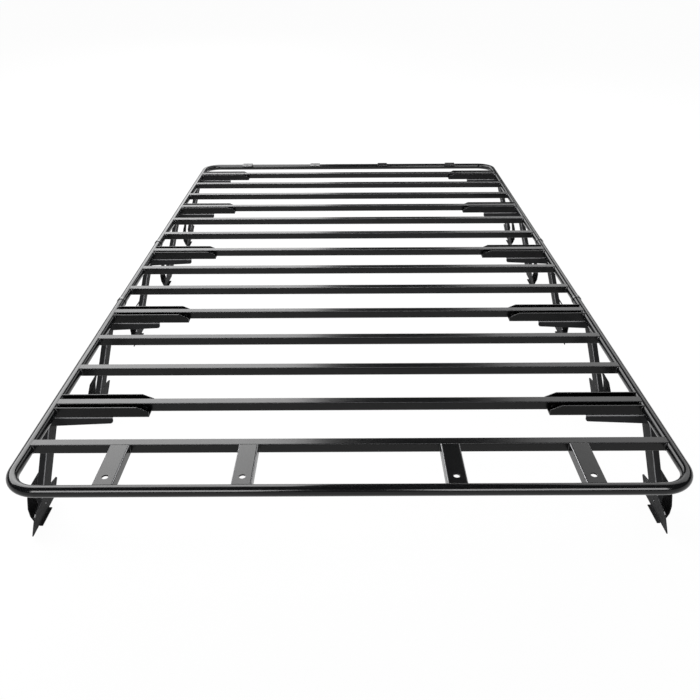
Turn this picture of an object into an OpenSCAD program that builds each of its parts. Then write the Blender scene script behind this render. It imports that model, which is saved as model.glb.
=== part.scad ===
// A flat platform roof rack. A round tube runs all the way round the platform in three
// sections, fourteen square slats cross between its side rails, and ten leaning legs of
// folded sheet end in gutter feet. Four drilled plates stand behind the front tube.
// Millimetres, +Z up. The origin is on the floor under the middle of the platform,
// and the front of the rack, with the drilled plates, faces -Y.

/* [Platform] */
// length of the platform over its end tubes
platform_l = 2200; // [1900:10:2600]
// width of the platform over its side rails
platform_w = 1250; // [1050:10:1450]
// height of the middle of the side rails over the floor
rail_h = 303; // [270:360]
// from the middle of an end tube to the middle of the nearest slat
end_gap = 134; // [115:160]
// extra slat spacing where two sections of the rack meet
joint_extra = 6; // [0:12]

/* [Rail tube] */
// outside diameter of the rail tube
rail_d = 22; // [18:28]
// wall of the rail tube
rail_wall = 2; // [1:0.5:3]
// bend radius at the corners, to the middle of the tube
corner_r = 58; // [40:90]
// how far a joint collar stands out over the rail
collar_rise = 1.5; // [1:0.5:3]
// length of a joint collar
collar_l = 12; // [8:20]
// length of the sleeve inside the rail at a joint
sleeve_l = 90; // [50:120]

/* [Slats] */
// outside width and height of a slat
slat_s = 20; // [16:24]
// wall of a slat
slat_wall = 2; // [1:0.5:3]
// outside corner radius of a slat
slat_r = 2; // [1:0.5:4]
// radius of the weld beads round the side rails
bead_r = 2; // [1:0.5:3]

/* [Drilled plates] */
// width of a front plate
plate_w = 37; // [30:45]
// sheet of a front plate
plate_t = 3; // [2:0.5:4]
// outside radius of a front plate's folds
plate_r = 3; // [2:0.5:5]
// middle of an outer front plate from the middle of the rack
plate_outer_x = 438; // [380:480]
// middle of an inner front plate from the middle of the rack
plate_inner_x = 192; // [120:260]
// hole in a front plate
plate_hole_d = 12; // [8:14]
// from the middle of the front tube to the plate hole
plate_hole_y = 27; // [22:60]

/* [Rear tabs] */
// width of a rear tab along the tube
tab_w = 40; // [30:50]
// length of a rear tab, front to back
tab_l = 46; // [30:60]
// sheet of a rear tab
tab_t = 3; // [2:0.5:4]
// hole in a rear tab
tab_hole_d = 9; // [6:12]
// how far a rear tab reaches back past the middle of the rear tube
tab_lap = 6; // [2:10]
// from the middle of the rear tube to the tab hole
tab_hole_y = 26; // [22:34]
// middle of an outer rear tab from the middle of the rack
tab_outer_x = 436; // [380:480]
// middle of an inner rear tab from the middle of the rack
tab_inner_x = 145; // [100:200]

/* [Brackets] */
// outside width of a bracket, front to back
bracket_w = 54; // [48:60]
// length of a bracket from the side rail inwards
bracket_l = 188; // [150:220]
// length of the sloped end of a bracket wall
bracket_slope_l = 24; // [15:35]
// fall of the sloped end of a bracket wall
bracket_slope_h = 11; // [6:16]

/* [Legs] */
// from the inner side of the rail out to the leg's web, at the rail's height
web_out = 12.4; // [8:0.1:16]
// sheet of the legs, brackets and clamps
sheet_t = 2.5; // [2:0.5:4]
// outside width of a leg, front to back
leg_w = 57; // [48:62]
// outward run of a leg for each millimetre of fall
leg_lean = 0.278; // [0.15:0.01:0.4]
// depth of a leg across the lean
leg_d = 14.5; // [12:20]
// reach of the arm inwards from the side rail
arm_reach = 112; // [80:130]
// depth of the arm at its inner end
arm_h_in = 15; // [10:18]
// depth of the arm where the leg starts
arm_h_out = 21; // [18:26]
// radius of the arm's lower corner at its inner end
arm_corner_r = 6.5; // [4:0.5:8]
// fall from the arm's top to where its slanted outside corner ends
leg_top_out = 33; // [26:40]
// how far the leg's sides are set in from the arm's
leg_step = 0.5; // [0.25:0.25:1]
// length of the point that each side of the leg ends in
side_taper = 36; // [20:45]
// outside radius of the folds
fold_r = 5; // [4:0.5:6]

/* [Feet] */
// length of the foot blade along the gutter
blade_l = 140; // [116:150]
// height of the straight part of the blade
blade_h = 54; // [40:62]
// height of the flare from the leg to the blade
flare_h = 16; // [12:30]
// corner cut off the blade's shoulder
blade_chamfer = 5; // [2:10]
// hole in the blade
foot_hole_d = 10; // [8:12]
// lower hole over the bottom edge of the blade
foot_hole_low = 36; // [30:44]
// upper hole over the bottom edge of the blade
foot_hole_high = 74; // [66:84]

/* [Clamps] */
// width of a clamp along the gutter
clamp_w = 61; // [50:66]
// gap for the gutter between the blade and the clamp lip
gutter_gap = 2; // [1:0.5:4]
// reach of the clamp lip past the blade, inwards
lip_reach = 6; // [5:14]
// height of the clamp's top edge over the floor
clamp_h = 138; // [125:150]
// from the leg's sides to the middle of the clamp's sheet at its top edge
clamp_seat = 2; // [1.5:0.5:4]
// bends of the clamp: how far outside the blade's foot, and how high over the floor
clamp_bends = [[3, 106], [12, 78], [17, 48], [16, 27], [9, 9.25]];

/* [Hidden] */
$fn = 48;
overlap = 0.01;

half_w = platform_w / 2 - rail_d / 2;
half_l = platform_l / 2 - rail_d / 2;
rail_in = platform_w / 2 - rail_d;
slat_count = 14;
slat_before_front_joint = 5;
slat_before_rear_joint = 8;
station_slats = [2, 5, 8, 11, 14];
slat_pitch = (2 * half_l - 2 * end_gap - 2 * joint_extra) / (slat_count - 1);
function slat_y(i) = -half_l + end_gap + (i - 1) * slat_pitch
                     + (i > slat_before_front_joint ? joint_extra : 0)
                     + (i > slat_before_rear_joint ? joint_extra : 0);
front_joint_y = (slat_y(slat_before_front_joint) + slat_y(slat_before_front_joint + 1)) / 2;
rear_joint_y = (slat_y(slat_before_rear_joint) + slat_y(slat_before_rear_joint + 1)) / 2;
function station_y(s) = slat_y(station_slats[s - 1]);

// levels below are counted from the middle of the rail
slat_top = slat_s / 2;
base_top = -slat_s / 2;
arm_top = base_top - sheet_t;
lip_bottom = -rail_h;
blade_bottom = lip_bottom + sheet_t + gutter_gap;
arm_in_x = rail_in - arm_reach;
lean_angle = atan(leg_lean);
web_t = sheet_t / cos(lean_angle);
web_x0 = rail_in + web_out;
function web_x(z) = web_x0 - leg_lean * z;
function out_x(z) = web_x(z) + leg_d / cos(lean_angle);
function slope(z) = z / cos(lean_angle);
neck = slope(blade_bottom + blade_h + flare_h);

module both_sides() {
  children();
  mirror([1, 0, 0]) children();
}

module tube_y(y0, y1, x, d) {
  translate([x, y0, rail_h]) rotate([-90, 0, 0]) cylinder(d = d, h = y1 - y0);
}

module tube_x(x0, x1, y, d) {
  translate([x0, y, rail_h]) rotate([0, 90, 0]) cylinder(d = d, h = x1 - x0);
}

// a hoop in plan: end tube at y_end, two bends and two side runs to y_joint
module hoop_solid(y_end, y_joint, d) {
  way = y_joint > y_end ? 1 : -1;
  y_bend = y_end + way * corner_r;
  tube_x(-half_w + corner_r, half_w - corner_r, y_end, d);
  both_sides() {
    tube_y(min(y_bend, y_joint), max(y_bend, y_joint), half_w, d);
    translate([half_w - corner_r, y_bend, rail_h])
      rotate([0, 0, way > 0 ? -90 : 0])
        rotate_extrude(angle = 90) translate([corner_r, 0]) circle(d = d);
  }
}

module hoop(y_end, y_joint) {
  bore = rail_d - 2 * rail_wall;
  way = y_joint > y_end ? 1 : -1;
  difference() {
    hoop_solid(y_end, y_joint, rail_d);
    hoop_solid(y_end, y_joint, bore);
    for (x = [-half_w, half_w])
      tube_y(y_joint - overlap, y_joint + overlap, x, bore);
  }
}

module front_hoop() {
  color("#26282b") hoop(-half_l, front_joint_y);
}

module rear_hoop() {
  color("#26282b") hoop(half_l, rear_joint_y);
}

module middle_rail(x) {
  color("#26282b") difference() {
    tube_y(front_joint_y, rear_joint_y, x, rail_d);
    tube_y(front_joint_y - overlap, rear_joint_y + overlap, x, rail_d - 2 * rail_wall);
  }
}

module middle_rail_left() {
  middle_rail(-half_w);
}

module middle_rail_right() {
  middle_rail(half_w);
}

// a ring outside the rail and a sleeve inside it, at each end of a joint
module joint_collars(y) {
  ring_d = rail_d + 2 * collar_rise;
  bore = rail_d - 2 * rail_wall;
  color("#303236") for (x = [-half_w, half_w]) {
    difference() {
      tube_y(y - collar_l / 2, y + collar_l / 2, x, ring_d);
      tube_y(y - collar_l, y + collar_l, x, rail_d);
    }
    difference() {
      tube_y(y - sleeve_l / 2, y + sleeve_l / 2, x, bore);
      tube_y(y - sleeve_l, y + sleeve_l, x, bore - 2 * rail_wall);
    }
  }
}

module front_joint_collars() {
  joint_collars(front_joint_y);
}

module rear_joint_collars() {
  joint_collars(rear_joint_y);
}

module rounded_square(w, h, r) {
  translate([-w / 2 + r, -h / 2]) square([w - 2 * r, h]);
  translate([-w / 2, -h / 2 + r]) square([w, h - 2 * r]);
  for (x = [-w / 2 + r, w / 2 - r])
    for (y = [-h / 2 + r, h / 2 - r])
      translate([x, y]) circle(r = r);
}

// a weld bead on the inside of the right rail, where an upright face at y meets it
module rail_bead(y) {
  turn = asin((slat_s - bead_r) / (rail_d + 2 * bead_r));
  translate([half_w, y, rail_h]) rotate([-90, 0, 0]) rotate([0, 0, 180 - turn])
    rotate_extrude(angle = 2 * turn) translate([rail_d / 2, 0]) circle(r = bead_r);
}

// a square tube across the rack, each end coped round the side rail it is welded to
module slat(i) {
  inner = slat_s - 2 * slat_wall;
  y = slat_y(i);
  color("#2b2d30") difference() {
    union() {
      translate([-half_w, y, rail_h]) rotate([90, 0, 90])
        linear_extrude(2 * half_w) rounded_square(slat_s, slat_s, slat_r);
      both_sides() {
        rail_bead(y - slat_s / 2);
        rail_bead(y + slat_s / 2);
      }
    }
    translate([-half_w - overlap, y - inner / 2, rail_h - inner / 2])
      cube([2 * half_w + 2 * overlap, inner, inner]);
    for (x = [-half_w, half_w])
      tube_y(y - slat_s, y + slat_s, x, rail_d);
  }
}

module slat_01() { slat(1); }
module slat_02() { slat(2); }
module slat_03() { slat(3); }
module slat_04() { slat(4); }
module slat_05() { slat(5); }
module slat_06() { slat(6); }
module slat_07() { slat(7); }
module slat_08() { slat(8); }
module slat_09() { slat(9); }
module slat_10() { slat(10); }
module slat_11() { slat(11); }
module slat_12() { slat(12); }
module slat_13() { slat(13); }
module slat_14() { slat(14); }

// a folded channel, open downwards, from the front tube to the first slat
module front_plate(x) {
  y0 = -half_l;
  y1 = slat_y(1) - slat_s / 2;
  difference() {
    translate([x, y1, rail_h + slat_top - slat_s / 2]) rotate([90, 0, 0])
      linear_extrude(y1 - y0) difference() {
        union() {
          translate([-plate_w / 2, -slat_s / 2]) square([plate_w, slat_s - plate_r]);
          translate([-plate_w / 2 + plate_r, 0]) square([plate_w - 2 * plate_r, slat_s / 2]);
          for (c = [-plate_w / 2 + plate_r, plate_w / 2 - plate_r])
            translate([c, slat_s / 2 - plate_r]) circle(r = plate_r);
        }
        translate([-plate_w / 2 + plate_t, -slat_s])
          square([plate_w - 2 * plate_t, 1.5 * slat_s - plate_t]);
      }
    tube_x(x - plate_w, x + plate_w, y0, rail_d);
    translate([x, y0 + plate_hole_y, rail_h]) cylinder(d = plate_hole_d, h = slat_s);
  }
}

module outer_front_plates() {
  color("#2e3034") both_sides() front_plate(plate_outer_x);
}

module inner_front_plates() {
  color("#2e3034") both_sides() front_plate(plate_inner_x);
}

// a small drilled plate lying on top of the rear tube
module rear_tab(x) {
  translate([x, half_l, rail_h + rail_d / 2]) difference() {
    translate([-tab_w / 2, tab_lap - tab_l, 0]) cube([tab_w, tab_l, tab_t]);
    translate([0, -tab_hole_y, -tab_t]) cylinder(d = tab_hole_d, h = 3 * tab_t);
  }
}

module rear_tabs() {
  color("#2e3034") both_sides() {
    rear_tab(tab_outer_x);
    rear_tab(tab_inner_x);
  }
}

// a channel, open upwards, under a slat; its walls reach up to the slat's top
module bracket(y) {
  x0 = rail_in - bracket_l;
  wall_h = slat_top - arm_top;
  inner_w = bracket_w - 2 * sheet_t;
  translate([0, y, rail_h]) difference() {
    union() {
      translate([x0, 0, 0]) rotate([90, 0, 90])
        linear_extrude(half_w - x0) difference() {
          translate([-bracket_w / 2, arm_top]) square([bracket_w, wall_h]);
          translate([-inner_w / 2, base_top]) square([inner_w, wall_h]);
        }
      translate([0, 0, -rail_h]) {
        rail_bead(-bracket_w / 2);
        rail_bead(bracket_w / 2);
      }
    }
    translate([x0, bracket_w / 2 + overlap, slat_top]) rotate([90, 0, 0])
      linear_extrude(bracket_w + 2 * overlap)
        polygon([[-overlap, overlap], [bracket_slope_l, overlap],
                 [bracket_slope_l, 0], [0, -bracket_slope_h], [-overlap, -bracket_slope_h]]);
    translate([half_w, bracket_w, 0]) rotate([90, 0, 0])
      cylinder(d = rail_d, h = 2 * bracket_w);
  }
}

module bracket_pair(s) {
  color("#2b2d30") both_sides() bracket(station_y(s));
}

module bracket_pair_1() { bracket_pair(1); }
module bracket_pair_2() { bracket_pair(2); }
module bracket_pair_3() { bracket_pair(3); }
module bracket_pair_4() { bracket_pair(4); }
module bracket_pair_5() { bracket_pair(5); }

// turns what is drawn flat on the web (x outwards, y along the rack, z up the slope)
module on_web() {
  translate([web_x0, 0, 0]) rotate([0, -lean_angle, 0]) children();
}

// side view of the arm: a round lower corner inside, and deeper towards the leg
module arm_side() {
  x_end = out_x(arm_top - leg_top_out);
  translate([arm_in_x, arm_top - arm_h_in + arm_corner_r])
    square([arm_corner_r, arm_h_in - arm_corner_r]);
  translate([arm_in_x + arm_corner_r, arm_top - arm_h_in + arm_corner_r])
    circle(r = arm_corner_r);
  polygon([[arm_in_x + arm_corner_r, arm_top], [x_end, arm_top],
           [x_end, arm_top - arm_h_out], [web_x(arm_top - arm_h_out), arm_top - arm_h_out],
           [arm_in_x + arm_corner_r, arm_top - arm_h_in]]);
}

// section of a channel, open towards -y, with its outside folds rounded
module channel_section(w, h, r) {
  inner_w = w - 2 * sheet_t;
  difference() {
    union() {
      translate([-w / 2, -h]) square([w, h - r]);
      translate([-w / 2 + r, -h]) square([w - 2 * r, h]);
      for (x = [-w / 2 + r, w / 2 - r])
        translate([x, -r]) circle(r = r);
    }
    translate([-inner_w / 2, -h - sheet_t]) square([inner_w, h]);
  }
}

// the arm under the bracket: a channel open downwards
module arm() {
  x_end = out_x(arm_top - leg_top_out);
  intersection() {
    translate([arm_in_x - overlap, 0, arm_top]) rotate([90, 0, 90])
      linear_extrude(x_end - arm_in_x + 2 * overlap)
        channel_section(leg_w, 2 * arm_h_out, fold_r);
    translate([0, leg_w, 0]) rotate([90, 0, 0]) linear_extrude(2 * leg_w) arm_side();
  }
}

// the leg: a channel open outwards, its two sides tapering to a point over the blade
module leg_channel() {
  w = leg_w - 2 * leg_step;
  on_web() {
    translate([0, 0, neck]) rotate([0, 0, 90])
      linear_extrude(slope(arm_top) - neck) channel_section(w, leg_d, fold_r);
    for (y = [w / 2, -w / 2 + sheet_t])
      translate([0, y, 0]) rotate([90, 0, 0]) linear_extrude(sheet_t)
        polygon([[sheet_t / 2, neck], [leg_d, neck], [sheet_t / 2, neck - side_taper]]);
  }
}

// the blade that the web widens into, flat in the gutter
module blade() {
  w = leg_w - 2 * leg_step;
  bottom = slope(blade_bottom);
  shoulder = slope(blade_bottom + blade_h);
  on_web() rotate([90, 0, 90]) linear_extrude(sheet_t)
    polygon([[-w / 2, neck], [w / 2, neck],
             [blade_l / 2 - blade_chamfer, shoulder + blade_chamfer], [blade_l / 2, shoulder],
             [blade_l / 2, bottom], [-blade_l / 2, bottom],
             [-blade_l / 2, shoulder], [-blade_l / 2 + blade_chamfer, shoulder + blade_chamfer]]);
}

module leg(y) {
  translate([0, y, rail_h]) difference() {
    union() {
      arm();
      difference() {
        leg_channel();
        translate([arm_in_x, -leg_w, arm_top - sheet_t / 2]) cube([rail_h, 2 * leg_w, rail_h]);
      }
      blade();
    }
    // the corner between the arm and the leg is cut at a slant outside
    translate([0, leg_w, 0]) rotate([90, 0, 0]) linear_extrude(2 * leg_w)
      polygon([[web_x(arm_top) + web_t, arm_top + overlap],
               [out_x(arm_top - leg_top_out) + leg_step, arm_top - leg_top_out],
               [out_x(arm_top - leg_top_out) + leg_d, arm_top - leg_top_out],
               [out_x(arm_top - leg_top_out) + leg_d, arm_top + overlap]]);
    for (h = [foot_hole_low, foot_hole_high])
      translate([web_x(blade_bottom + h), 0, blade_bottom + h])
        rotate([0, 90 - lean_angle, 0]) cylinder(d = foot_hole_d, h = 4 * sheet_t, center = true);
  }
}

module leg_pair(s) {
  color("#232528") both_sides() leg(station_y(s));
}

module leg_pair_1() { leg_pair(1); }
module leg_pair_2() { leg_pair(2); }
module leg_pair_3() { leg_pair(3); }
module leg_pair_4() { leg_pair(4); }
module leg_pair_5() { leg_pair(5); }

// a strip of sheet along a run of points, mitred at each bend
function unit(v) = v / norm(v);
function left_of(v) = [-v[1], v[0]];
function side(points, i) = left_of(unit(points[i + 1] - points[i]));
function mitre(points, i) =
  i == 0 ? side(points, 0)
  : i == len(points) - 1 ? side(points, i - 1)
  : (side(points, i - 1) + side(points, i)) / (1 + side(points, i - 1) * side(points, i));

module strip(points) {
  last = len(points) - 1;
  polygon(concat([for (i = [0 : last]) points[i] + sheet_t / 2 * mitre(points, i)],
                 [for (i = [last : -1 : 0]) points[i] - sheet_t / 2 * mitre(points, i)]));
}

// the hooked clamp outside a leg: its lip passes under the blade
module clamp(y) {
  lip_z = lip_bottom + sheet_t / 2;
  foot_x = web_x(blade_bottom);
  path = concat([[out_x(clamp_h - rail_h) + clamp_seat, clamp_h - rail_h]],
                [for (b = clamp_bends) [foot_x + b[0], b[1] - rail_h]],
                [[foot_x, lip_z], [foot_x - lip_reach, lip_z]]);
  translate([0, y + clamp_w / 2, rail_h]) rotate([90, 0, 0])
    linear_extrude(clamp_w) strip(path);
}

module clamp_pair(s) {
  color("#2b2d30") both_sides() clamp(station_y(s));
}

module clamp_pair_1() { clamp_pair(1); }
module clamp_pair_2() { clamp_pair(2); }
module clamp_pair_3() { clamp_pair(3); }
module clamp_pair_4() { clamp_pair(4); }
module clamp_pair_5() { clamp_pair(5); }

front_hoop();
rear_hoop();
middle_rail_left();
middle_rail_right();
front_joint_collars();
rear_joint_collars();
slat_01();
slat_02();
slat_03();
slat_04();
slat_05();
slat_06();
slat_07();
slat_08();
slat_09();
slat_10();
slat_11();
slat_12();
slat_13();
slat_14();
outer_front_plates();
inner_front_plates();
rear_tabs();
bracket_pair_1();
bracket_pair_2();
bracket_pair_3();
bracket_pair_4();
bracket_pair_5();
leg_pair_1();
leg_pair_2();
leg_pair_3();
leg_pair_4();
leg_pair_5();
clamp_pair_1();
clamp_pair_2();
clamp_pair_3();
clamp_pair_4();
clamp_pair_5();
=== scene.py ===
import math
from collections import namedtuple

import bmesh
import bpy
from bpy.props import FloatProperty, FloatVectorProperty, IntProperty, PointerProperty
from mathutils import Matrix, Vector


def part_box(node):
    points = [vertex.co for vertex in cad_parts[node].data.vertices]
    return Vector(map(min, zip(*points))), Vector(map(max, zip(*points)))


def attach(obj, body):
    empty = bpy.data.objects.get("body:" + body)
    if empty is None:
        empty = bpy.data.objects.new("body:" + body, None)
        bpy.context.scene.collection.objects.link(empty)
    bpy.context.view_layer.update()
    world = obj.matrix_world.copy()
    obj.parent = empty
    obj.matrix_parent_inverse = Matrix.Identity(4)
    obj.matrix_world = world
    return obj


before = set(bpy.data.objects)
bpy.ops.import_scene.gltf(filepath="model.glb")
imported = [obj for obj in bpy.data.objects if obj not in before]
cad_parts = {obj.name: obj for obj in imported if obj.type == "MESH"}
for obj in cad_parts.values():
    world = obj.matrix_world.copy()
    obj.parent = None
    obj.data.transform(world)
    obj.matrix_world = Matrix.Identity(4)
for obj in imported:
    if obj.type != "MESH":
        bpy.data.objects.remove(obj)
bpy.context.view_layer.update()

bl_info = {
    "name": "Platform Roof Rack Looks",
    "version": (1, 0, 0),
    "blender": (4, 5, 0),
    "location": "View3D > Sidebar > Roof Rack",
    "description": "Powder coat, weld detail and studio for a flat platform roof rack",
    "category": "Object",
}

RAILS = ("front_hoop", "rear_hoop", "middle_rail_left", "middle_rail_right")
COLLARS = ("front_joint_collars", "rear_joint_collars")
SLATS = tuple("slat_%02d" % i for i in range(1, 15))
STATION_SLATS = ("slat_02", "slat_05", "slat_08", "slat_11", "slat_14")
FRONT_PLATES = ("outer_front_plates", "inner_front_plates")
PLATES = FRONT_PLATES + ("rear_tabs",)
BRACKETS = tuple("bracket_pair_%d" % i for i in range(1, 6))
LEGS = tuple("leg_pair_%d" % i for i in range(1, 6))
CLAMPS = tuple("clamp_pair_%d" % i for i in range(1, 6))

SIDES = (-1, 1)
WHITE = (1.0, 1.0, 1.0)

# cloud of the coat: tone drifts over CLOUD_STOPS of a noise, up to CLOUD_PALER times the colour

CLOUD_SCALE = 26.0
CLOUD_DETAIL = 4.0
CLOUD_GRAIN = 0.6
CLOUD_STOPS = (0.35, 0.68)
CLOUD_PALER = 1.3

# smudge of the coat: roughness drifts between two shares of its own value

SMUDGE_SCALE = 60.0
SMUDGE_DETAIL = 3.0
SMUDGE_STOPS = (0.3, 0.7)
SMUDGE_SHARES = (0.95, 1.06)

# orange peel, and the softening of edges

PEEL_DETAIL = 2.0
BEVEL_SAMPLES = 4

# painted edge highlights: the base colour is made paler along edges and folds, where light
# would glint; a normal's largest part is 1 on a face square to the rack and less on a fold, its
# Z part keeps the highlight to the upper edges, which light from above catches, and open air
# within OPEN_REACH metres tells an edge from a corner

FOLD_STOPS = (0.91, 0.76)
UPPER_STOPS = (0.10, 0.35)
OPEN_STOPS = (0.55, 0.80)
OPEN_REACH = 0.003
OPEN_SAMPLES = 6
PALE_BLUE = 1.03

# ripple of the beads that are part of slats and brackets: a slat's bead is as long as given,
# counted from the slat's end, and a bracket's starts as far from the middle plane as given

RIPPLE_SCALE = 110.0
RIPPLE_DISTORTION = 1.4
RIPPLE_HEIGHT = 0.0003
SLAT_BEAD_LENGTH = 0.0085
BRACKET_BEAD_FROM = 0.6005

# collars are paler than the rim by a factor, and brackets rougher than other sheet parts

COLLAR_PALER = 1.6
BRACKET_ROUGHER = 1.2

# the plates and tabs that the welds follow, in metres, as the CAD has them

PLATE_WIDTH = 0.037
TAB_PLACES = (0.145, 0.436)
TAB_HALF_WIDTH = 0.020

# how the welds lie on them and on the slats, in metres, and the form of their drops

PLUG_DROP = 0.001
PLATE_BEAD_INSET = 0.003
TAB_BEAD_INSET = 0.004
TAB_BEAD_DROP = 0.0002
BEAD_UNEVEN = 0.10
BEAD_BEAT = 2.4
DROP_LENGTH = 0.85
DOME_FACES = 24

# studio: a rise is the sine of a reflected ray's angle over the horizon, the sensor is in
# millimetres, and a lamp of 4 watts per square metre has a radiance of 1

HORIZON_RISE = 0.03
CEILING_RISE = 0.15
SENSOR_WIDTH = 36.0
WATTS_PER_RADIANCE = 4.0
FRONT_LIT = RAILS + COLLARS + LEGS + CLAMPS

SoftBox = namedtuple("SoftBox", "name place target width height radiance lit", defaults=((),))
SOFT_BOXES = (
    SoftBox("left_panel_near", place=(-1.6, 0.7, 1.75), target=(-1.6, 0.7, 0.0),
            width=2.8, height=2.4, radiance=5.7),
    SoftBox("left_panel_middle", place=(-1.6, 3.55, 1.75), target=(-1.6, 3.55, 0.0),
            width=2.8, height=3.3, radiance=3.4),
    SoftBox("left_panel_far", place=(-1.6, 6.85, 1.75), target=(-1.6, 6.85, 0.0),
            width=2.8, height=3.3, radiance=1.7),
    SoftBox("right_panel", place=(1.9, 2.2, 1.75), target=(1.9, 2.2, 0.0),
            width=2.0, height=5.5, radiance=1.8),
    SoftBox("front_left_box", place=(-2.0, -5.4, 3.15), target=(-0.3, -1.1, 0.3),
            width=2.8, height=2.3, radiance=11.0, lit=FRONT_LIT),
    SoftBox("front_right_box", place=(2.0, -5.4, 3.15), target=(0.3, -1.1, 0.3),
            width=2.8, height=2.3, radiance=11.0, lit=FRONT_LIT),
)


# values a user would change


class RackCoatSettings(bpy.types.PropertyGroup):
    """Colours and surface of the powder coat."""

    rail_color: FloatVectorProperty(
        name="Rail tube", description="Colour of the round rim tube",
        subtype="COLOR", size=3, min=0.0, max=1.0, default=(0.0022, 0.0023, 0.0025))
    slat_color: FloatVectorProperty(
        name="Slat tube", description="Colour of the square slats",
        subtype="COLOR", size=3, min=0.0, max=1.0, default=(0.0036, 0.0037, 0.0040))
    plate_color: FloatVectorProperty(
        name="Drilled plates", description="Colour of the front plates and rear tabs",
        subtype="COLOR", size=3, min=0.0, max=1.0, default=(0.0040, 0.0041, 0.0044))
    bracket_color: FloatVectorProperty(
        name="Brackets", description="Colour of the channel brackets under the slats",
        subtype="COLOR", size=3, min=0.0, max=1.0, default=(0.0028, 0.0029, 0.0032))
    leg_color: FloatVectorProperty(
        name="Legs", description="Colour of the folded legs and the gutter clamps",
        subtype="COLOR", size=3, min=0.0, max=1.0, default=(0.0040, 0.0041, 0.0045))
    weld_color: FloatVectorProperty(
        name="Welds", description="Colour of the coated weld beads",
        subtype="COLOR", size=3, min=0.0, max=1.0, default=(0.010, 0.010, 0.011))

    rail_roughness: FloatProperty(
        name="Rail roughness", description="Roughness of the coat on the rim",
        subtype="FACTOR", min=0.05, max=1.0, default=0.12)
    sheet_roughness: FloatProperty(
        name="Sheet roughness", description="Roughness of the coat on slats and sheet parts",
        subtype="FACTOR", min=0.05, max=1.0, default=0.22)
    leg_roughness: FloatProperty(
        name="Leg roughness", description="Roughness of the duller coat on legs and clamps",
        subtype="FACTOR", min=0.05, max=1.0, default=0.75)
    plug_roughness: FloatProperty(
        name="Plug roughness", description="Roughness of the coat on the plug welds",
        subtype="FACTOR", min=0.05, max=1.0, default=0.30)
    bead_roughness: FloatProperty(
        name="Bead roughness", description="Roughness of the coat on the plates' and tabs' beads",
        subtype="FACTOR", min=0.05, max=1.0, default=0.28)

    rail_specular: FloatProperty(
        name="Rail specular", description="How strongly the rim mirrors",
        subtype="FACTOR", min=0.0, max=1.0, default=0.27)
    collar_specular: FloatProperty(
        name="Collar specular", description="How strongly the joint collars mirror",
        subtype="FACTOR", min=0.0, max=1.0, default=0.6)
    slat_specular: FloatProperty(
        name="Slat specular", description="How strongly the slats mirror",
        subtype="FACTOR", min=0.0, max=1.0, default=0.24)
    plate_specular: FloatProperty(
        name="Plate specular", description="How strongly the plates and tabs mirror",
        subtype="FACTOR", min=0.0, max=1.0, default=0.20)
    bracket_specular: FloatProperty(
        name="Bracket specular", description="How strongly the brackets mirror",
        subtype="FACTOR", min=0.0, max=1.0, default=0.18)
    leg_specular: FloatProperty(
        name="Leg specular", description="How strongly the legs mirror",
        subtype="FACTOR", min=0.0, max=1.0, default=0.12)
    clamp_specular: FloatProperty(
        name="Clamp specular", description="How strongly the gutter clamps mirror",
        subtype="FACTOR", min=0.0, max=1.0, default=0.14)
    weld_specular: FloatProperty(
        name="Weld specular", description="How strongly the welds mirror",
        subtype="FACTOR", min=0.0, max=1.0, default=0.6)

    # these edge levels are painted highlights: how pale the base colour is made along corners, edges
    # and folds where light glints
    slat_edge: FloatProperty(
        name="Slat edge", description="How pale the thin coat is along the slats' corners",
        subtype="FACTOR", min=0.0, max=1.0, default=0.20)
    plate_edge_highlight: FloatProperty(
        name="Plate edge", description="How pale the thin coat is along the plates' edges",
        subtype="FACTOR", min=0.0, max=1.0, default=0.45)
    bracket_edge_highlight: FloatProperty(
        name="Bracket edge", description="How pale the thin coat is along the brackets' edges",
        subtype="FACTOR", min=0.0, max=1.0, default=0.22)
    leg_edge_highlight: FloatProperty(
        name="Leg edge", description="How pale the thin coat is along the legs' folds and edges",
        subtype="FACTOR", min=0.0, max=1.0, default=0.14)

    peel_size: FloatProperty(
        name="Orange peel", description="Width of one ripple of the coat's orange peel",
        subtype="DISTANCE", unit="LENGTH", min=0.0005, max=0.01, default=0.0016)
    peel_depth: FloatProperty(
        name="Peel depth", description="Height of the coat's orange peel",
        subtype="DISTANCE", unit="LENGTH", min=0.0, max=0.0005, default=0.000003, precision=6)
    edge_radius: FloatProperty(
        name="Edge radius", description="Rounding that the coat gives to sheet edges",
        subtype="DISTANCE", unit="LENGTH", min=0.0, max=0.002, default=0.0010, precision=5)


class RackWeldSettings(bpy.types.PropertyGroup):
    """Sizes of the weld detail laid over the solids."""

    slat_size: FloatProperty(
        name="Slat size", description="Width and height of a slat",
        subtype="DISTANCE", unit="LENGTH", min=0.01, max=0.04, default=0.020)
    plug_radius: FloatProperty(
        name="Plug radius", description="Radius of a plug weld on a slat inside a bracket",
        subtype="DISTANCE", unit="LENGTH", min=0.002, max=0.01, default=0.0045)
    plug_height: FloatProperty(
        name="Plug height", description="How far a plug weld stands out",
        subtype="DISTANCE", unit="LENGTH", min=0.0002, max=0.003, default=0.0008)
    plug_outer_x: FloatProperty(
        name="Outer plug", description="Outer plug weld from the middle of the rack",
        subtype="DISTANCE", unit="LENGTH", min=0.4, max=0.6, default=0.541)
    plug_inner_x: FloatProperty(
        name="Inner plug", description="Inner plug weld from the middle of the rack",
        subtype="DISTANCE", unit="LENGTH", min=0.3, max=0.5, default=0.426)
    bead_radius: FloatProperty(
        name="Bead radius", description="Radius of a weld bead along a plate's or tab's edge",
        subtype="DISTANCE", unit="LENGTH", min=0.0005, max=0.004, default=0.0014)
    bead_pitch: FloatProperty(
        name="Bead pitch", description="Spacing of the ripples along a bead",
        subtype="DISTANCE", unit="LENGTH", min=0.0005, max=0.004, default=0.0016)
    bead_faces: IntProperty(
        name="Bead faces", description="Faces round one ripple of a bead",
        min=6, max=32, default=12)


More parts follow.
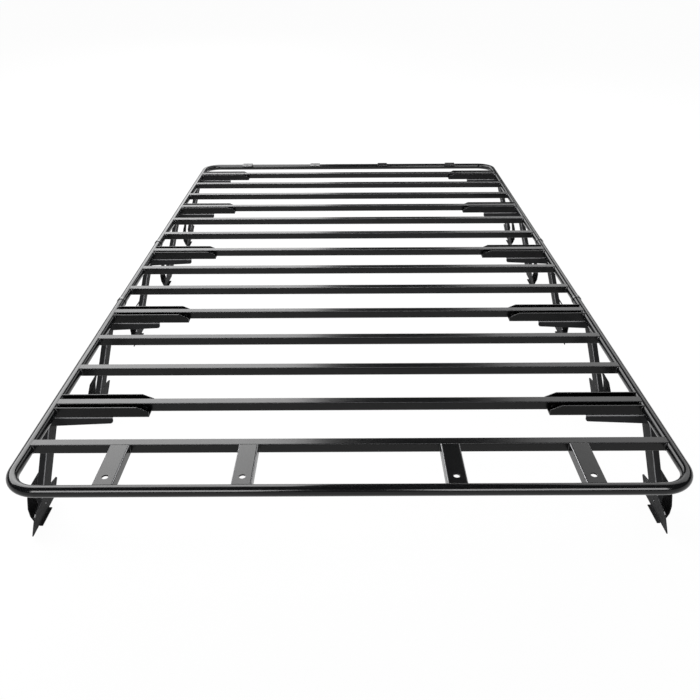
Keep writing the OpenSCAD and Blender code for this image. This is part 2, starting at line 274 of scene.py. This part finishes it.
class RackStageSettings(bpy.types.PropertyGroup):
    """Studio floor, surroundings and the camera of the main view."""

    camera_place: FloatVectorProperty(
        name="Camera place", description="Place of the camera in the rack's own frame",
        subtype="TRANSLATION", unit="LENGTH", size=3, default=(0.0019, -2.1217, 1.1478))
    camera_pitch: FloatProperty(
        name="Camera pitch", description="How far the camera looks down from level",
        subtype="ANGLE", unit="ROTATION", default=math.radians(28.61))
    camera_roll: FloatProperty(
        name="Camera roll", description="Roll of the camera about its own line of sight",
        subtype="ANGLE", unit="ROTATION", default=math.radians(-0.2557))
    lens: FloatProperty(
        name="Lens", description="Focal length for a 36 mm wide sensor, in millimetres",
        min=10.0, max=200.0, default=38.2)
    floor_size: FloatProperty(
        name="Floor size", description="Side of the square studio floor",
        subtype="DISTANCE", unit="LENGTH", min=5.0, max=200.0, default=90.0)
    floor_color: FloatVectorProperty(
        name="Floor", description="Colour of the studio floor",
        subtype="COLOR", size=3, min=0.0, max=1.0, default=(0.90, 0.90, 0.90))
    backdrop_share: FloatProperty(
        name="Backdrop share", description="How much of the floor is seen as plain white backdrop",
        subtype="FACTOR", min=0.0, max=1.0, default=0.97)
    ceiling_level: FloatProperty(
        name="Ceiling", description="Brightness of the overhead that reflections see",
        min=0.0, max=2.0, default=0.03)
    fill_level: FloatProperty(
        name="Fill", description="Plain light from all round",
        min=0.0, max=2.0, default=0.22)


# node helpers


def shader_tree(name):
    """A material with an empty node tree and its output."""
    material = bpy.data.materials.new(name)
    material.use_nodes = True
    tree = material.node_tree
    tree.nodes.clear()
    output = tree.nodes.new("ShaderNodeOutputMaterial")
    return material, tree, output


def noise(tree, coordinates, scale, detail, grain=0.5):
    """A noise texture on the given coordinates."""
    node = tree.nodes.new("ShaderNodeTexNoise")
    node.inputs["Scale"].default_value = scale
    node.inputs["Detail"].default_value = detail
    node.inputs["Roughness"].default_value = grain
    tree.links.new(coordinates, node.inputs["Vector"])
    return node.outputs["Fac"]


def color_ramp(tree, value, first, second):
    """A ramp between two stops, each a position and a colour."""
    node = tree.nodes.new("ShaderNodeValToRGB")
    for index, (position, color) in enumerate((first, second)):
        stop = node.color_ramp.elements[index]
        stop.position = position
        stop.color = (*color, 1.0)
    tree.links.new(value, node.inputs["Fac"])
    return node.outputs["Color"]


def map_range(tree, value, start, end, low=0.0, high=1.0):
    """low at start and high at end of the value, held outside them."""
    node = tree.nodes.new("ShaderNodeMapRange")
    node.inputs["From Min"].default_value = start
    node.inputs["From Max"].default_value = end
    node.inputs["To Min"].default_value = low
    node.inputs["To Max"].default_value = high
    tree.links.new(value, node.inputs["Value"])
    return node.outputs["Result"]


def math_node(tree, operation, *values):
    """A math node whose inputs are links or plain numbers."""
    node = tree.nodes.new("ShaderNodeMath")
    node.operation = operation
    for socket, value in zip(node.inputs, values):
        if isinstance(value, float):
            socket.default_value = value
        else:
            tree.links.new(value, socket)
    return node.outputs["Value"]


def vector_parts(tree, vector):
    """The X, Y and Z outputs of a split vector."""
    node = tree.nodes.new("ShaderNodeSeparateXYZ")
    tree.links.new(vector, node.inputs["Vector"])
    return node.outputs


def mix_colors(tree, share, first, second):
    """The first colour, a link, turned by the share to the second, three numbers."""
    node = tree.nodes.new("ShaderNodeMix")
    node.data_type = "RGBA"
    colors = [socket for socket in node.inputs if socket.type == "RGBA"]
    tree.links.new(share, node.inputs["Factor"])
    tree.links.new(first, colors[0])
    colors[1].default_value = (*second, 1.0)
    return next(socket for socket in node.outputs if socket.type == "RGBA")


def mix_shaders(tree, share, first, second, output):
    """Sends the first shader, turned by the share to the second, to the output."""
    node = tree.nodes.new("ShaderNodeMixShader")
    tree.links.new(share, node.inputs["Fac"])
    tree.links.new(first, node.inputs[1])
    tree.links.new(second, node.inputs[2])
    tree.links.new(node.outputs["Shader"], output.inputs["Surface"])


def bump(tree, height, distance, normal):
    """The normal, disturbed by a height that is distance where it is 1."""
    node = tree.nodes.new("ShaderNodeBump")
    node.inputs["Distance"].default_value = distance
    tree.links.new(height, node.inputs["Height"])
    tree.links.new(normal, node.inputs["Normal"])
    return node.outputs["Normal"]


# powder coat


def cloudy_tone(tree, place, color):
    """The coat's colour, drifting slowly to a slightly paler one."""
    drift = noise(tree, place, CLOUD_SCALE, CLOUD_DETAIL, CLOUD_GRAIN)
    paler = tuple(CLOUD_PALER * part for part in color)
    start, end = CLOUD_STOPS
    return color_ramp(tree, drift, (start, color), (end, paler))


def smudged_roughness(tree, place, roughness):
    """The coat's roughness, drifting a little above and below the given one."""
    drift = noise(tree, place, SMUDGE_SCALE, SMUDGE_DETAIL)
    low, high = (roughness * share for share in SMUDGE_SHARES)
    return map_range(tree, drift, *SMUDGE_STOPS, low, high)


def painted_edge_highlight(tree, rounded, tone, level, upper_only):
    """Paints highlights into the tone: paler along folds and edges, the upper ones only if asked,
    but not in a corner.
    """
    parts = vector_parts(tree, rounded)
    x, y, z = (math_node(tree, "ABSOLUTE", parts[axis]) for axis in "XYZ")
    largest = math_node(tree, "MAXIMUM", math_node(tree, "MAXIMUM", x, y), z)
    share = map_range(tree, largest, *FOLD_STOPS)
    if upper_only:
        upper = map_range(tree, parts["Z"], *UPPER_STOPS)
        share = math_node(tree, "MULTIPLY", share, upper)
    corner = tree.nodes.new("ShaderNodeAmbientOcclusion")
    corner.samples = OPEN_SAMPLES
    corner.only_local = True
    corner.inputs["Distance"].default_value = OPEN_REACH
    in_open = map_range(tree, corner.outputs["AO"], *OPEN_STOPS)
    share = math_node(tree, "MULTIPLY", share, in_open)
    # the tone is turned towards a pale, slightly blue painted highlight
    return mix_colors(tree, share, tone, (level, level, PALE_BLUE * level))


def weld_ripple(tree, place, normal, weld_from):
    """Adds a bead's ripple wherever the place is further than weld_from from the middle plane."""
    out = math_node(tree, "ABSOLUTE", vector_parts(tree, place)["X"])
    mask = math_node(tree, "GREATER_THAN", out, weld_from)
    wave = tree.nodes.new("ShaderNodeTexWave")
    wave.wave_type = "BANDS"
    wave.bands_direction = "Z"
    wave.inputs["Scale"].default_value = RIPPLE_SCALE
    wave.inputs["Distortion"].default_value = RIPPLE_DISTORTION
    tree.links.new(place, wave.inputs["Vector"])
    height = math_node(tree, "MULTIPLY", wave.outputs["Fac"], mask)
    return bump(tree, height, RIPPLE_HEIGHT, normal)


def powder_coat(name, color, roughness, specular, edge_highlight_level=0.0, weld_from=None,
                upper_only=True):
    """Powder coat with a cloudy tone, orange peel and softened edges.

    An edge level over 0 is the tone of a highlight painted along edges and folds, the upper ones
    only or all. Weld ripple, if any, starts at weld_from from the rack's middle plane.
    """
    coat = bpy.context.scene.rack_coat
    material, tree, output = shader_tree(name)
    shader = tree.nodes.new("ShaderNodeBsdfPrincipled")
    place = tree.nodes.new("ShaderNodeTexCoord").outputs["Object"]
    tone = cloudy_tone(tree, place, color)
    tree.links.new(smudged_roughness(tree, place, roughness), shader.inputs["Roughness"])
    shader.inputs["Specular IOR Level"].default_value = specular

    edge = tree.nodes.new("ShaderNodeBevel")
    edge.samples = BEVEL_SAMPLES
    edge.inputs["Radius"].default_value = coat.edge_radius
    rounded = edge.outputs["Normal"]
    # painted highlight: the base colour is made paler along edges and folds
    if edge_highlight_level:
        tone = painted_edge_highlight(tree, rounded, tone, edge_highlight_level, upper_only)
    tree.links.new(tone, shader.inputs["Base Color"])

    peel = noise(tree, place, 1.0 / coat.peel_size, PEEL_DETAIL)
    normal = bump(tree, peel, coat.peel_depth, rounded)
    if weld_from is not None:
        normal = weld_ripple(tree, place, normal, weld_from)
    tree.links.new(normal, shader.inputs["Normal"])
    tree.links.new(shader.outputs["BSDF"], output.inputs["Surface"])
    return material


def dress(names, material):
    """Gives CAD nodes a finish through their material slots."""
    for name in names:
        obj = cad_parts.get(name)
        if obj is None:
            raise RuntimeError("the frame has no node called " + name)
        if not obj.material_slots:
            obj.data.materials.append(material)
        for slot in obj.material_slots:
            slot.material = material


# object and mesh helpers


def add_object(name, data):
    """A new object with the given data, linked to the scene."""
    obj = bpy.data.objects.new(name, data)
    bpy.context.scene.collection.objects.link(obj)
    return obj


def mesh_from(name, bm):
    """Writes a bmesh to a new mesh and frees it."""
    mesh = bpy.data.meshes.new(name)
    bm.to_mesh(mesh)
    bm.free()
    return mesh


def new_piece(name, bm, material):
    """Makes an object from a bmesh, rides it on the rack and gives it a finish."""
    bmesh.ops.recalc_face_normals(bm, faces=bm.faces)
    mesh = mesh_from(name, bm)
    mesh.shade_smooth()
    obj = add_object(name, mesh)
    obj.data.materials.append(material)
    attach(obj, "root")
    return obj


def ripple_bead(bm, start, end, weld):
    """A run of overlapping flattened drops from start to end, as a weld leaves."""
    run = end - start
    count = max(2, int(round(run.length / weld.bead_pitch)))
    turn = run.to_track_quat("Z", "Y").to_matrix().to_4x4()
    for i in range(count + 1):
        place = Matrix.Translation(start + run * (i / count))
        size = weld.bead_radius * (1.0 + BEAD_UNEVEN * math.sin(BEAD_BEAT * i))
        squash = Matrix.Diagonal((size, size, DROP_LENGTH * weld.bead_pitch, 1.0))
        bmesh.ops.create_uvsphere(
            bm, u_segments=weld.bead_faces, v_segments=weld.bead_faces // 2, radius=1.0,
            matrix=place @ turn @ squash)


def weld_dome(bm, centre, radius, height, facing):
    """A low round dome of weld metal on a face that looks along facing."""
    turn = facing.to_track_quat("Z", "Y").to_matrix().to_4x4()
    squash = Matrix.Diagonal((radius, radius, height, 1.0))
    bmesh.ops.create_uvsphere(
        bm, u_segments=DOME_FACES, v_segments=DOME_FACES // 2, radius=1.0,
        matrix=Matrix.Translation(centre) @ turn @ squash)


# operators


class RACK_OT_coat_rails(bpy.types.Operator):
    """Gloss black powder coat on the round rim and its joint collars"""

    bl_idname = "rack.coat_rails"
    bl_label = "Coat Rim"

    def execute(self, context):
        coat = context.scene.rack_coat
        color = tuple(coat.rail_color)
        paler = tuple(COLLAR_PALER * part for part in color)
        dress(RAILS, powder_coat("rim_powder_coat", color,
                                 coat.rail_roughness, coat.rail_specular))
        dress(COLLARS, powder_coat("collar_powder_coat", paler,
                                   coat.rail_roughness, coat.collar_specular))
        return {"FINISHED"}


class RACK_OT_coat_slats(bpy.types.Operator):
    """Satin black powder coat on the square slats, with rippled beads at their ends"""

    bl_idname = "rack.coat_slats"
    bl_label = "Coat Slats"

    def execute(self, context):
        coat = context.scene.rack_coat
        slat_end = max(corner[0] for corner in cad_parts["slat_01"].bound_box)
        dress(SLATS, powder_coat("slat_powder_coat", tuple(coat.slat_color),
                                 coat.sheet_roughness, coat.slat_specular, coat.slat_edge,
                                 weld_from=slat_end - SLAT_BEAD_LENGTH))
        return {"FINISHED"}


class RACK_OT_coat_plates(bpy.types.Operator):
    """Satin black powder coat on the drilled front plates and the rear tabs"""

    bl_idname = "rack.coat_plates"
    bl_label = "Coat Plates"

    def execute(self, context):
        coat = context.scene.rack_coat
        dress(PLATES, powder_coat("plate_powder_coat", tuple(coat.plate_color),
                                  coat.sheet_roughness, coat.plate_specular, coat.plate_edge_highlight))
        return {"FINISHED"}


class RACK_OT_coat_brackets(bpy.types.Operator):
    """Satin black powder coat on the channel brackets, with rippled beads on the rails"""

    bl_idname = "rack.coat_brackets"
    bl_label = "Coat Brackets"

    def execute(self, context):
        coat = context.scene.rack_coat
        dress(BRACKETS, powder_coat("bracket_powder_coat", tuple(coat.bracket_color),
                                    BRACKET_ROUGHER * coat.sheet_roughness,
                                    coat.bracket_specular, coat.bracket_edge_highlight,
                                    weld_from=BRACKET_BEAD_FROM))
        return {"FINISHED"}


class RACK_OT_coat_legs(bpy.types.Operator):
    """Dull black powder coat on the folded legs and their gutter clamps"""

    bl_idname = "rack.coat_legs"
    bl_label = "Coat Legs"

    def execute(self, context):
        coat = context.scene.rack_coat
        color = tuple(coat.leg_color)
        dress(LEGS, powder_coat("leg_powder_coat", color, coat.leg_roughness,
                                coat.leg_specular, coat.leg_edge_highlight, upper_only=False))
        dress(CLAMPS, powder_coat("clamp_powder_coat", color, coat.leg_roughness,
                                  coat.clamp_specular))
        return {"FINISHED"}


class RACK_OT_plug_welds(bpy.types.Operator):
    """Two plug welds at each end of a slat, on the face that looks forward in its bracket"""

    bl_idname = "rack.plug_welds"
    bl_label = "Add Plug Welds"

    def execute(self, context):
        weld = context.scene.rack_weld
        coat = context.scene.rack_coat
        forward = Vector((0, -1, 0))
        bm = bmesh.new()
        for name in STATION_SLATS:
            low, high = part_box(name)
            y = (low[1] + high[1]) / 2 - weld.slat_size / 2
            z = (low[2] + high[2]) / 2 - PLUG_DROP
            for side in SIDES:
                for x in (weld.plug_outer_x, weld.plug_inner_x):
                    weld_dome(bm, Vector((side * x, y, z)), weld.plug_radius,
                              weld.plug_height, forward)
        material = powder_coat("plug_weld_coat", tuple(coat.weld_color),
                               coat.plug_roughness, coat.weld_specular)
        new_piece("plug_welds", bm, material)
        return {"FINISHED"}


class RACK_OT_plate_welds(bpy.types.Operator):
    """Rippled beads where the front plates meet the first slat"""

    bl_idname = "rack.plate_welds"
    bl_label = "Add Plate Welds"

    def execute(self, context):
        weld = context.scene.rack_weld
        coat = context.scene.rack_coat
        bm = bmesh.new()
        for name in FRONT_PLATES:
            low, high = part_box(name)
            bottom = low[2] + PLATE_BEAD_INSET
            top = high[2] - PLATE_BEAD_INSET
            for side in SIDES:
                for x in (side * high[0], side * (high[0] - PLATE_WIDTH)):
                    ripple_bead(bm, Vector((x, high[1], bottom)), Vector((x, high[1], top)), weld)
        material = powder_coat("plate_weld_coat", tuple(coat.weld_color),
                               coat.bead_roughness, coat.weld_specular)
        new_piece("plate_welds", bm, material)
        return {"FINISHED"}


class RACK_OT_tab_welds(bpy.types.Operator):
    """Rippled beads along the rear tabs' rear edges, where they meet the rear tube"""

    bl_idname = "rack.tab_welds"
    bl_label = "Add Tab Welds"

    def execute(self, context):
        weld = context.scene.rack_weld
        coat = context.scene.rack_coat
        low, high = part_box("rear_tabs")
        half = TAB_HALF_WIDTH - TAB_BEAD_INSET
        z = low[2] - TAB_BEAD_DROP
        bm = bmesh.new()
        for x in TAB_PLACES:
            for side in SIDES:
                ripple_bead(bm, Vector((side * x - half, high[1], z)),
                            Vector((side * x + half, high[1], z)), weld)
        material = powder_coat("tab_weld_coat", tuple(coat.weld_color),
                               coat.bead_roughness, coat.weld_specular)
        new_piece("tab_welds", bm, material)
        return {"FINISHED"}


class RACK_OT_stage(bpy.types.Operator):
    """Pale studio floor, soft lamps, white surroundings and the camera"""

    bl_idname = "rack.stage"
    bl_label = "Build Studio"

    def backdrop_rays(self, tree):
        """1 for what the camera, a reflection or clear material sees, else 0."""
        path = tree.nodes.new("ShaderNodeLightPath")
        seen = path.outputs["Is Camera Ray"]
        for ray in ("Is Glossy Ray", "Is Transmission Ray"):
            seen = math_node(tree, "MAXIMUM", seen, path.outputs[ray])
        return seen

    def floor(self, stage):
        """A wide floor that catches shadows and is otherwise seen nearly white."""
        material, tree, output = shader_tree("studio_floor")
        diffuse = tree.nodes.new("ShaderNodeBsdfDiffuse")
        diffuse.inputs["Color"].default_value = (*stage.floor_color, 1.0)
        glow = tree.nodes.new("ShaderNodeEmission")
        glow.inputs["Color"].default_value = (*WHITE, 1.0)
        glow.inputs["Strength"].default_value = 1.0
        share = math_node(tree, "MULTIPLY", self.backdrop_rays(tree), stage.backdrop_share)
        mix_shaders(tree, share, diffuse.outputs["BSDF"], glow.outputs["Emission"], output)
        bm = bmesh.new()
        bmesh.ops.create_grid(bm, x_segments=1, y_segments=1, size=stage.floor_size / 2)
        floor = add_object("studio_floor", mesh_from("studio_floor", bm))
        floor.data.materials.append(material)

    def world(self, stage):
        """White for the camera, white below a dark ceiling for reflections, and a plain fill."""
        world = bpy.data.worlds.new("studio_world")
        bpy.context.scene.world = world
        world.use_nodes = True
        tree = world.node_tree
        tree.nodes.clear()
        output = tree.nodes.new("ShaderNodeOutputWorld")
        direction = tree.nodes.new("ShaderNodeTexCoord").outputs["Generated"]
        ceiling = (stage.ceiling_level,) * 3
        mirrored = color_ramp(tree, vector_parts(tree, direction)["Z"],
                              (HORIZON_RISE, WHITE), (CEILING_RISE, ceiling))
        path = tree.nodes.new("ShaderNodeLightPath")
        seen = mix_colors(tree, path.outputs["Is Camera Ray"], mirrored, WHITE)
        backdrop = tree.nodes.new("ShaderNodeBackground")
        tree.links.new(seen, backdrop.inputs["Color"])
        fill = tree.nodes.new("ShaderNodeBackground")
        fill.inputs["Color"].default_value = (*WHITE, 1.0)
        fill.inputs["Strength"].default_value = stage.fill_level
        mix_shaders(tree, self.backdrop_rays(tree), fill.outputs["Background"],
                    backdrop.outputs["Background"], output)

    def lamp(self, box):
        """A soft box of the given radiance, unseen itself, that lights only the lit nodes if any."""
        data = bpy.data.lights.new(box.name, "AREA")
        data.shape = "RECTANGLE"
        data.size = box.width
        data.size_y = box.height
        data.energy = WATTS_PER_RADIANCE * box.width * box.height * box.radiance
        lamp = add_object(box.name, data)
        lamp.location = box.place
        toward = Vector(box.target) - Vector(box.place)
        lamp.rotation_euler = toward.to_track_quat("-Z", "Y").to_euler()
        lamp.visible_camera = False
        if box.lit:
            group = bpy.data.collections.new(box.name + "_receivers")
            for node in box.lit:
                group.objects.link(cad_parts[node])
            lamp.light_linking.receiver_collection = group

    def camera(self, stage):
        """The camera of the main view, without shift or depth of field."""
        data = bpy.data.cameras.new("main_camera")
        data.sensor_width = SENSOR_WIDTH
        data.lens = stage.lens
        camera = add_object("main_camera", data)
        camera.location = stage.camera_place
        tilt = Matrix.Rotation(math.pi / 2 - stage.camera_pitch, 3, "X")
        roll = Matrix.Rotation(stage.camera_roll, 3, "Z")
        camera.rotation_euler = (tilt @ roll).to_euler()
        bpy.context.scene.camera = camera

    def execute(self, context):
        stage = context.scene.rack_stage
        self.floor(stage)
        self.world(stage)
        for box in SOFT_BOXES:
            self.lamp(box)
        self.camera(stage)
        context.scene.view_settings.view_transform = "Standard"
        return {"FINISHED"}


class RACK_PT_looks(bpy.types.Panel):
    """Looks of the roof rack"""

    bl_idname = "RACK_PT_looks"
    bl_label = "Roof Rack Looks"
    bl_space_type = "VIEW_3D"
    bl_region_type = "UI"
    bl_category = "Roof Rack"

    def draw(self, context):
        layout = self.layout
        for settings in (context.scene.rack_coat, context.scene.rack_weld,
                         context.scene.rack_stage):
            box = layout.box()
            for name in settings.bl_rna.properties.keys():
                if name not in ("rna_type", "name"):
                    box.prop(settings, name)
        for operator in OPERATORS:
            layout.operator(operator.bl_idname)


OPERATORS = (
    RACK_OT_coat_rails,
    RACK_OT_coat_slats,
    RACK_OT_coat_plates,
    RACK_OT_coat_brackets,
    RACK_OT_coat_legs,
    RACK_OT_plug_welds,
    RACK_OT_plate_welds,
    RACK_OT_tab_welds,
    RACK_OT_stage,
)
CLASSES = (RackCoatSettings, RackWeldSettings, RackStageSettings) + OPERATORS + (RACK_PT_looks,)


def register():
    for cls in CLASSES:
        bpy.utils.register_class(cls)
    bpy.types.Scene.rack_coat = PointerProperty(type=RackCoatSettings)
    bpy.types.Scene.rack_weld = PointerProperty(type=RackWeldSettings)
    bpy.types.Scene.rack_stage = PointerProperty(type=RackStageSettings)


def unregister():
    del bpy.types.Scene.rack_stage
    del bpy.types.Scene.rack_weld
    del bpy.types.Scene.rack_coat
    for cls in reversed(CLASSES):
        bpy.utils.unregister_class(cls)


def main():
    register()
    bpy.ops.rack.coat_rails()
    bpy.ops.rack.coat_slats()
    bpy.ops.rack.coat_plates()
    bpy.ops.rack.coat_brackets()
    bpy.ops.rack.coat_legs()
    bpy.ops.rack.plug_welds()
    bpy.ops.rack.plate_welds()
    bpy.ops.rack.tab_welds()
    bpy.ops.rack.stage()


if __name__ == "__main__":
    main()
